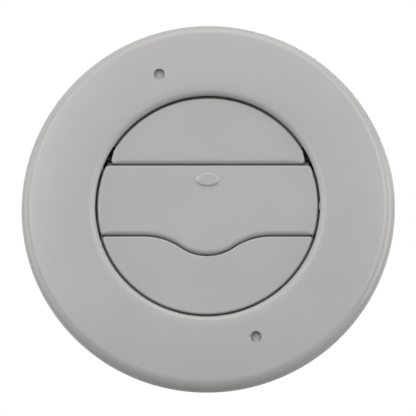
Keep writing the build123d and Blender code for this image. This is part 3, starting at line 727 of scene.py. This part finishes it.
def material(name, dark, light, roughness, grain, bump, depth,
             patch=60.0, metallic=0.0, specular=0.5, back_shaded=False):
    """Two close tones in soft patches and fine grain, with a slightly uneven gloss."""
    made = bpy.data.materials.new(name)
    made.use_nodes = True
    nodes, links = made.node_tree.nodes, made.node_tree.links
    surface = nodes["Principled BSDF"]
    surface.inputs["Metallic"].default_value = metallic
    surface.inputs["Specular IOR Level"].default_value = specular
    place = nodes.new("ShaderNodeTexCoord")

    soft = noise(nodes, links, place, patch, detail=3.0)
    fine = noise(nodes, links, place, grain, detail=2.0)
    fine.inputs["Roughness"].default_value = 0.6
    both = nodes.new("ShaderNodeMix")
    both.inputs["Factor"].default_value = 0.5
    links.new(soft.outputs["Fac"], both.inputs["A"])
    links.new(fine.outputs["Fac"], both.inputs["B"])

    tone = tone_ramp(nodes, dark, light)
    links.new(both.outputs["Result"], tone.inputs["Fac"])
    # Painted shade: the blades go near-black behind a depth, darkening the gaps between them
    if back_shaded:
        shade_tone = tone_ramp(nodes, BACK_SHADE, BACK_SHADE_LIGHT)
        links.new(both.outputs["Result"], shade_tone.inputs["Fac"])
        tone = shade_blade_back(nodes, links, place, tone, shade_tone)
    links.new(tone.outputs["Color"], surface.inputs["Base Color"])

    gloss = nodes.new("ShaderNodeMapRange")
    gloss.inputs["To Min"].default_value = roughness - GLOSS_SPREAD
    gloss.inputs["To Max"].default_value = roughness + GLOSS_SPREAD
    links.new(soft.outputs["Fac"], gloss.inputs["Value"])
    links.new(gloss.outputs["Result"], surface.inputs["Roughness"])

    relief = nodes.new("ShaderNodeBump")
    relief.inputs["Strength"].default_value = bump
    relief.inputs["Distance"].default_value = depth
    links.new(fine.outputs["Fac"], relief.inputs["Height"])
    links.new(relief.outputs["Normal"], surface.inputs["Normal"])
    return made


ring_plastic = material("ring_plastic", (0.405, 0.400, 0.390), (0.435, 0.430, 0.420),
                        roughness=0.33, **GREY_GRAIN)
blade_plastic = material("blade_plastic", (0.403, 0.396, 0.396), (0.433, 0.426, 0.426),
                         roughness=0.32, back_shaded=True, **GREY_GRAIN)
tab_plastic = material("tab_blade_plastic", (0.407, 0.402, 0.394), (0.437, 0.432, 0.424),
                       roughness=0.30, back_shaded=True, **GREY_GRAIN)
black_plastic = material("black_plastic", BLACK, SOFT_BLACK,
                         roughness=0.5, grain=1800, bump=0.2, depth=0.00005)
natural_plastic = material("natural_plastic", (0.66, 0.64, 0.58), (0.74, 0.72, 0.66),
                           roughness=0.4, grain=1500, bump=0.1, depth=0.00004)
bush_rubber = material("bush_rubber", (0.02, 0.02, 0.02), (0.035, 0.035, 0.035),
                       roughness=0.75, grain=1800, bump=0.3, depth=0.00006)
foam = material("foam", (0.016, 0.016, 0.017), (0.06, 0.06, 0.062),
                roughness=0.9, grain=1400, bump=0.9, depth=0.00035, patch=500,
                specular=0.2)
screw_steel = material("screw_steel", (0.50, 0.50, 0.49), (0.62, 0.62, 0.60),
                       roughness=0.3, grain=1500, bump=0.1, depth=0.00003, patch=200,
                       metallic=1.0)


# Pieces
def place_piece(piece, node, body, look, angle=CREASE_ANGLE):
    """Piece shows in place of a CAD node and moves with its body."""
    smooth(piece, angle)
    piece.data.materials.clear()
    piece.data.materials.append(look)
    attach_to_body(piece, body)
    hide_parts(node)


place_piece(build_bezel(), "bezel", "housing", ring_plastic)
place_piece(build_upper_blade(), "upper_blade", "upper_shutter", blade_plastic)
place_piece(build_middle_blade(), "middle_blade", "middle_shutter",
            tab_plastic)
place_piece(build_lower_blade(), "lower_blade", "lower_shutter", blade_plastic)
place_piece(build_collar(), "duct_collar", "housing", black_plastic)
place_piece(build_foam("panel_gasket_body", GASKET), "panel_gasket", "housing", foam,
            FOAM_CREASE_ANGLE)
place_piece(build_foam("duct_seal_body", DUCT_SEAL), "duct_seal", "housing", foam,
            FOAM_CREASE_ANGLE)

NODE_LOOKS = {
    "rotor_barrel": black_plastic,
    "left_pivot_retainer": black_plastic,
    "right_pivot_retainer": black_plastic,
    "upper_friction_bush": bush_rubber,
    "middle_friction_bush": bush_rubber,
    "lower_friction_bush": bush_rubber,
    "upper_pivot_pins": black_plastic,
    "middle_pivot_pins": black_plastic,
    "lower_pivot_pins": black_plastic,
    "swivel_friction_ring": natural_plastic,
    "link_bar": natural_plastic,
    "collar_screws": screw_steel,
}
for node, look in NODE_LOOKS.items():
    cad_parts[node].data.materials.clear()
    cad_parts[node].data.materials.append(look)

# Floor, light and camera, in metres and watts
FLOOR_Z = -1.6           # below the camera in every view
FLOOR_REACH = 8.0
FLOOR_GLOW = 0.55        # keeps the floor pale in the picture without lighting the vent
WORLD_FILL = 0.15
WHITE = (1, 1, 1, 1)
LAMPS = (
    ("top_light", (0.0, -0.5, 0.9), (0.9, 0.7), 4.8),
    ("left_light", (-0.5, -0.9, 0.28), (0.2, 0.7), 4.0),
    ("right_light", (0.5, -0.9, 0.28), (0.2, 0.7), 3.3),
    ("left_rim_light", (-1.0, -0.15, 0.0), (0.4, 0.9), 3.4),
    ("right_rim_light", (1.0, -0.15, 0.0), (0.4, 0.9), 4.7),
    ("back_light", (0.4, 1.0, 0.7), (0.9, 0.7), 5.0),
)
AZIMUTH, ELEVATION, ROLL = radians(2.5), radians(-11.4), radians(0.5)
DISTANCE = 1.1
WIDTH = 0.1112           # what the picture shows at the vent
SENSOR = 36.0            # millimetres


def background_rays(nodes, links):
    """One for rays from the camera, in reflections and through glass, and zero for light."""
    path = nodes.new("ShaderNodeLightPath")
    total = path.outputs["Is Camera Ray"]
    for kind in ("Is Glossy Ray", "Is Transmission Ray"):
        both = nodes.new("ShaderNodeMath")
        both.operation = "MAXIMUM"
        links.new(total, both.inputs[0])
        links.new(path.outputs[kind], both.inputs[1])
        total = both.outputs["Value"]
    return total


def build_floor():
    """Pale floor far below the vent."""
    mesh = bpy.data.meshes.new("floor")
    corners = ((-1, -1), (1, -1), (1, 1), (-1, 1))
    vertices = [(x * FLOOR_REACH, y * FLOOR_REACH, FLOOR_Z) for x, y in corners]
    mesh.from_pydata(vertices, [], [(0, 1, 2, 3)])
    floor = bpy.data.objects.new("floor", mesh)
    bpy.context.scene.collection.objects.link(floor)
    look = material("floor_look", (0.78, 0.78, 0.78), (0.82, 0.82, 0.82),
                    roughness=0.8, grain=40, bump=0.02, depth=0.0005, patch=2.0,
                    specular=0.1)
    mesh.materials.append(look)
    nodes, links = look.node_tree.nodes, look.node_tree.links
    glow = nodes.new("ShaderNodeMath")
    glow.operation = "MULTIPLY"
    glow.inputs[1].default_value = FLOOR_GLOW
    links.new(background_rays(nodes, links), glow.inputs[0])
    surface = nodes["Principled BSDF"]
    surface.inputs["Emission Color"].default_value = WHITE
    links.new(glow.outputs["Value"], surface.inputs["Emission Strength"])


def soft_box(name, place, size, power):
    """Rectangular area light that faces the vent."""
    data = bpy.data.lights.new(name, "AREA")
    data.shape = "RECTANGLE"
    data.size, data.size_y = size
    data.energy = power
    lamp = bpy.data.objects.new(name, data)
    lamp.location = place
    lamp.rotation_mode = "QUATERNION"
    lamp.rotation_quaternion = (-Vector(place)).to_track_quat("-Z", "Y")
    bpy.context.scene.collection.objects.link(lamp)


def build_world():
    """White where it is seen, and a weak even light on the vent."""
    world = bpy.data.worlds.new("studio")
    world.use_nodes = True
    nodes, links = world.node_tree.nodes, world.node_tree.links
    nodes.clear()
    output = nodes.new("ShaderNodeOutputWorld")
    mix = nodes.new("ShaderNodeMixShader")
    links.new(background_rays(nodes, links), mix.inputs["Fac"])
    for socket, strength in ((1, WORLD_FILL), (2, 1.0)):
        sky = nodes.new("ShaderNodeBackground")
        sky.inputs["Color"].default_value = WHITE
        sky.inputs["Strength"].default_value = strength
        links.new(sky.outputs["Background"], mix.inputs[socket])
    links.new(mix.outputs["Shader"], output.inputs["Surface"])
    bpy.context.scene.world = world


def build_camera():
    """Camera that looks at the middle of the vent from a little below."""
    data = bpy.data.cameras.new("camera")
    data.sensor_width = SENSOR
    data.lens = SENSOR * DISTANCE / WIDTH
    data.clip_start, data.clip_end = 0.01, 20.0
    camera = bpy.data.objects.new("camera", data)
    level = cos(ELEVATION)
    toward = Vector((sin(AZIMUTH) * level, -cos(AZIMUTH) * level, sin(ELEVATION)))
    camera.rotation_mode = "QUATERNION"
    camera.location = toward * DISTANCE
    turn = Matrix.Rotation(ROLL, 3, "Z").to_quaternion()
    camera.rotation_quaternion = (-toward).to_track_quat("-Z", "Y") @ turn
    bpy.context.scene.collection.objects.link(camera)
    bpy.context.scene.camera = camera


build_floor()
for lamp in LAMPS:
    soft_box(*lamp)
build_world()
build_camera()

bpy.context.scene.view_settings.view_transform = "Standard"
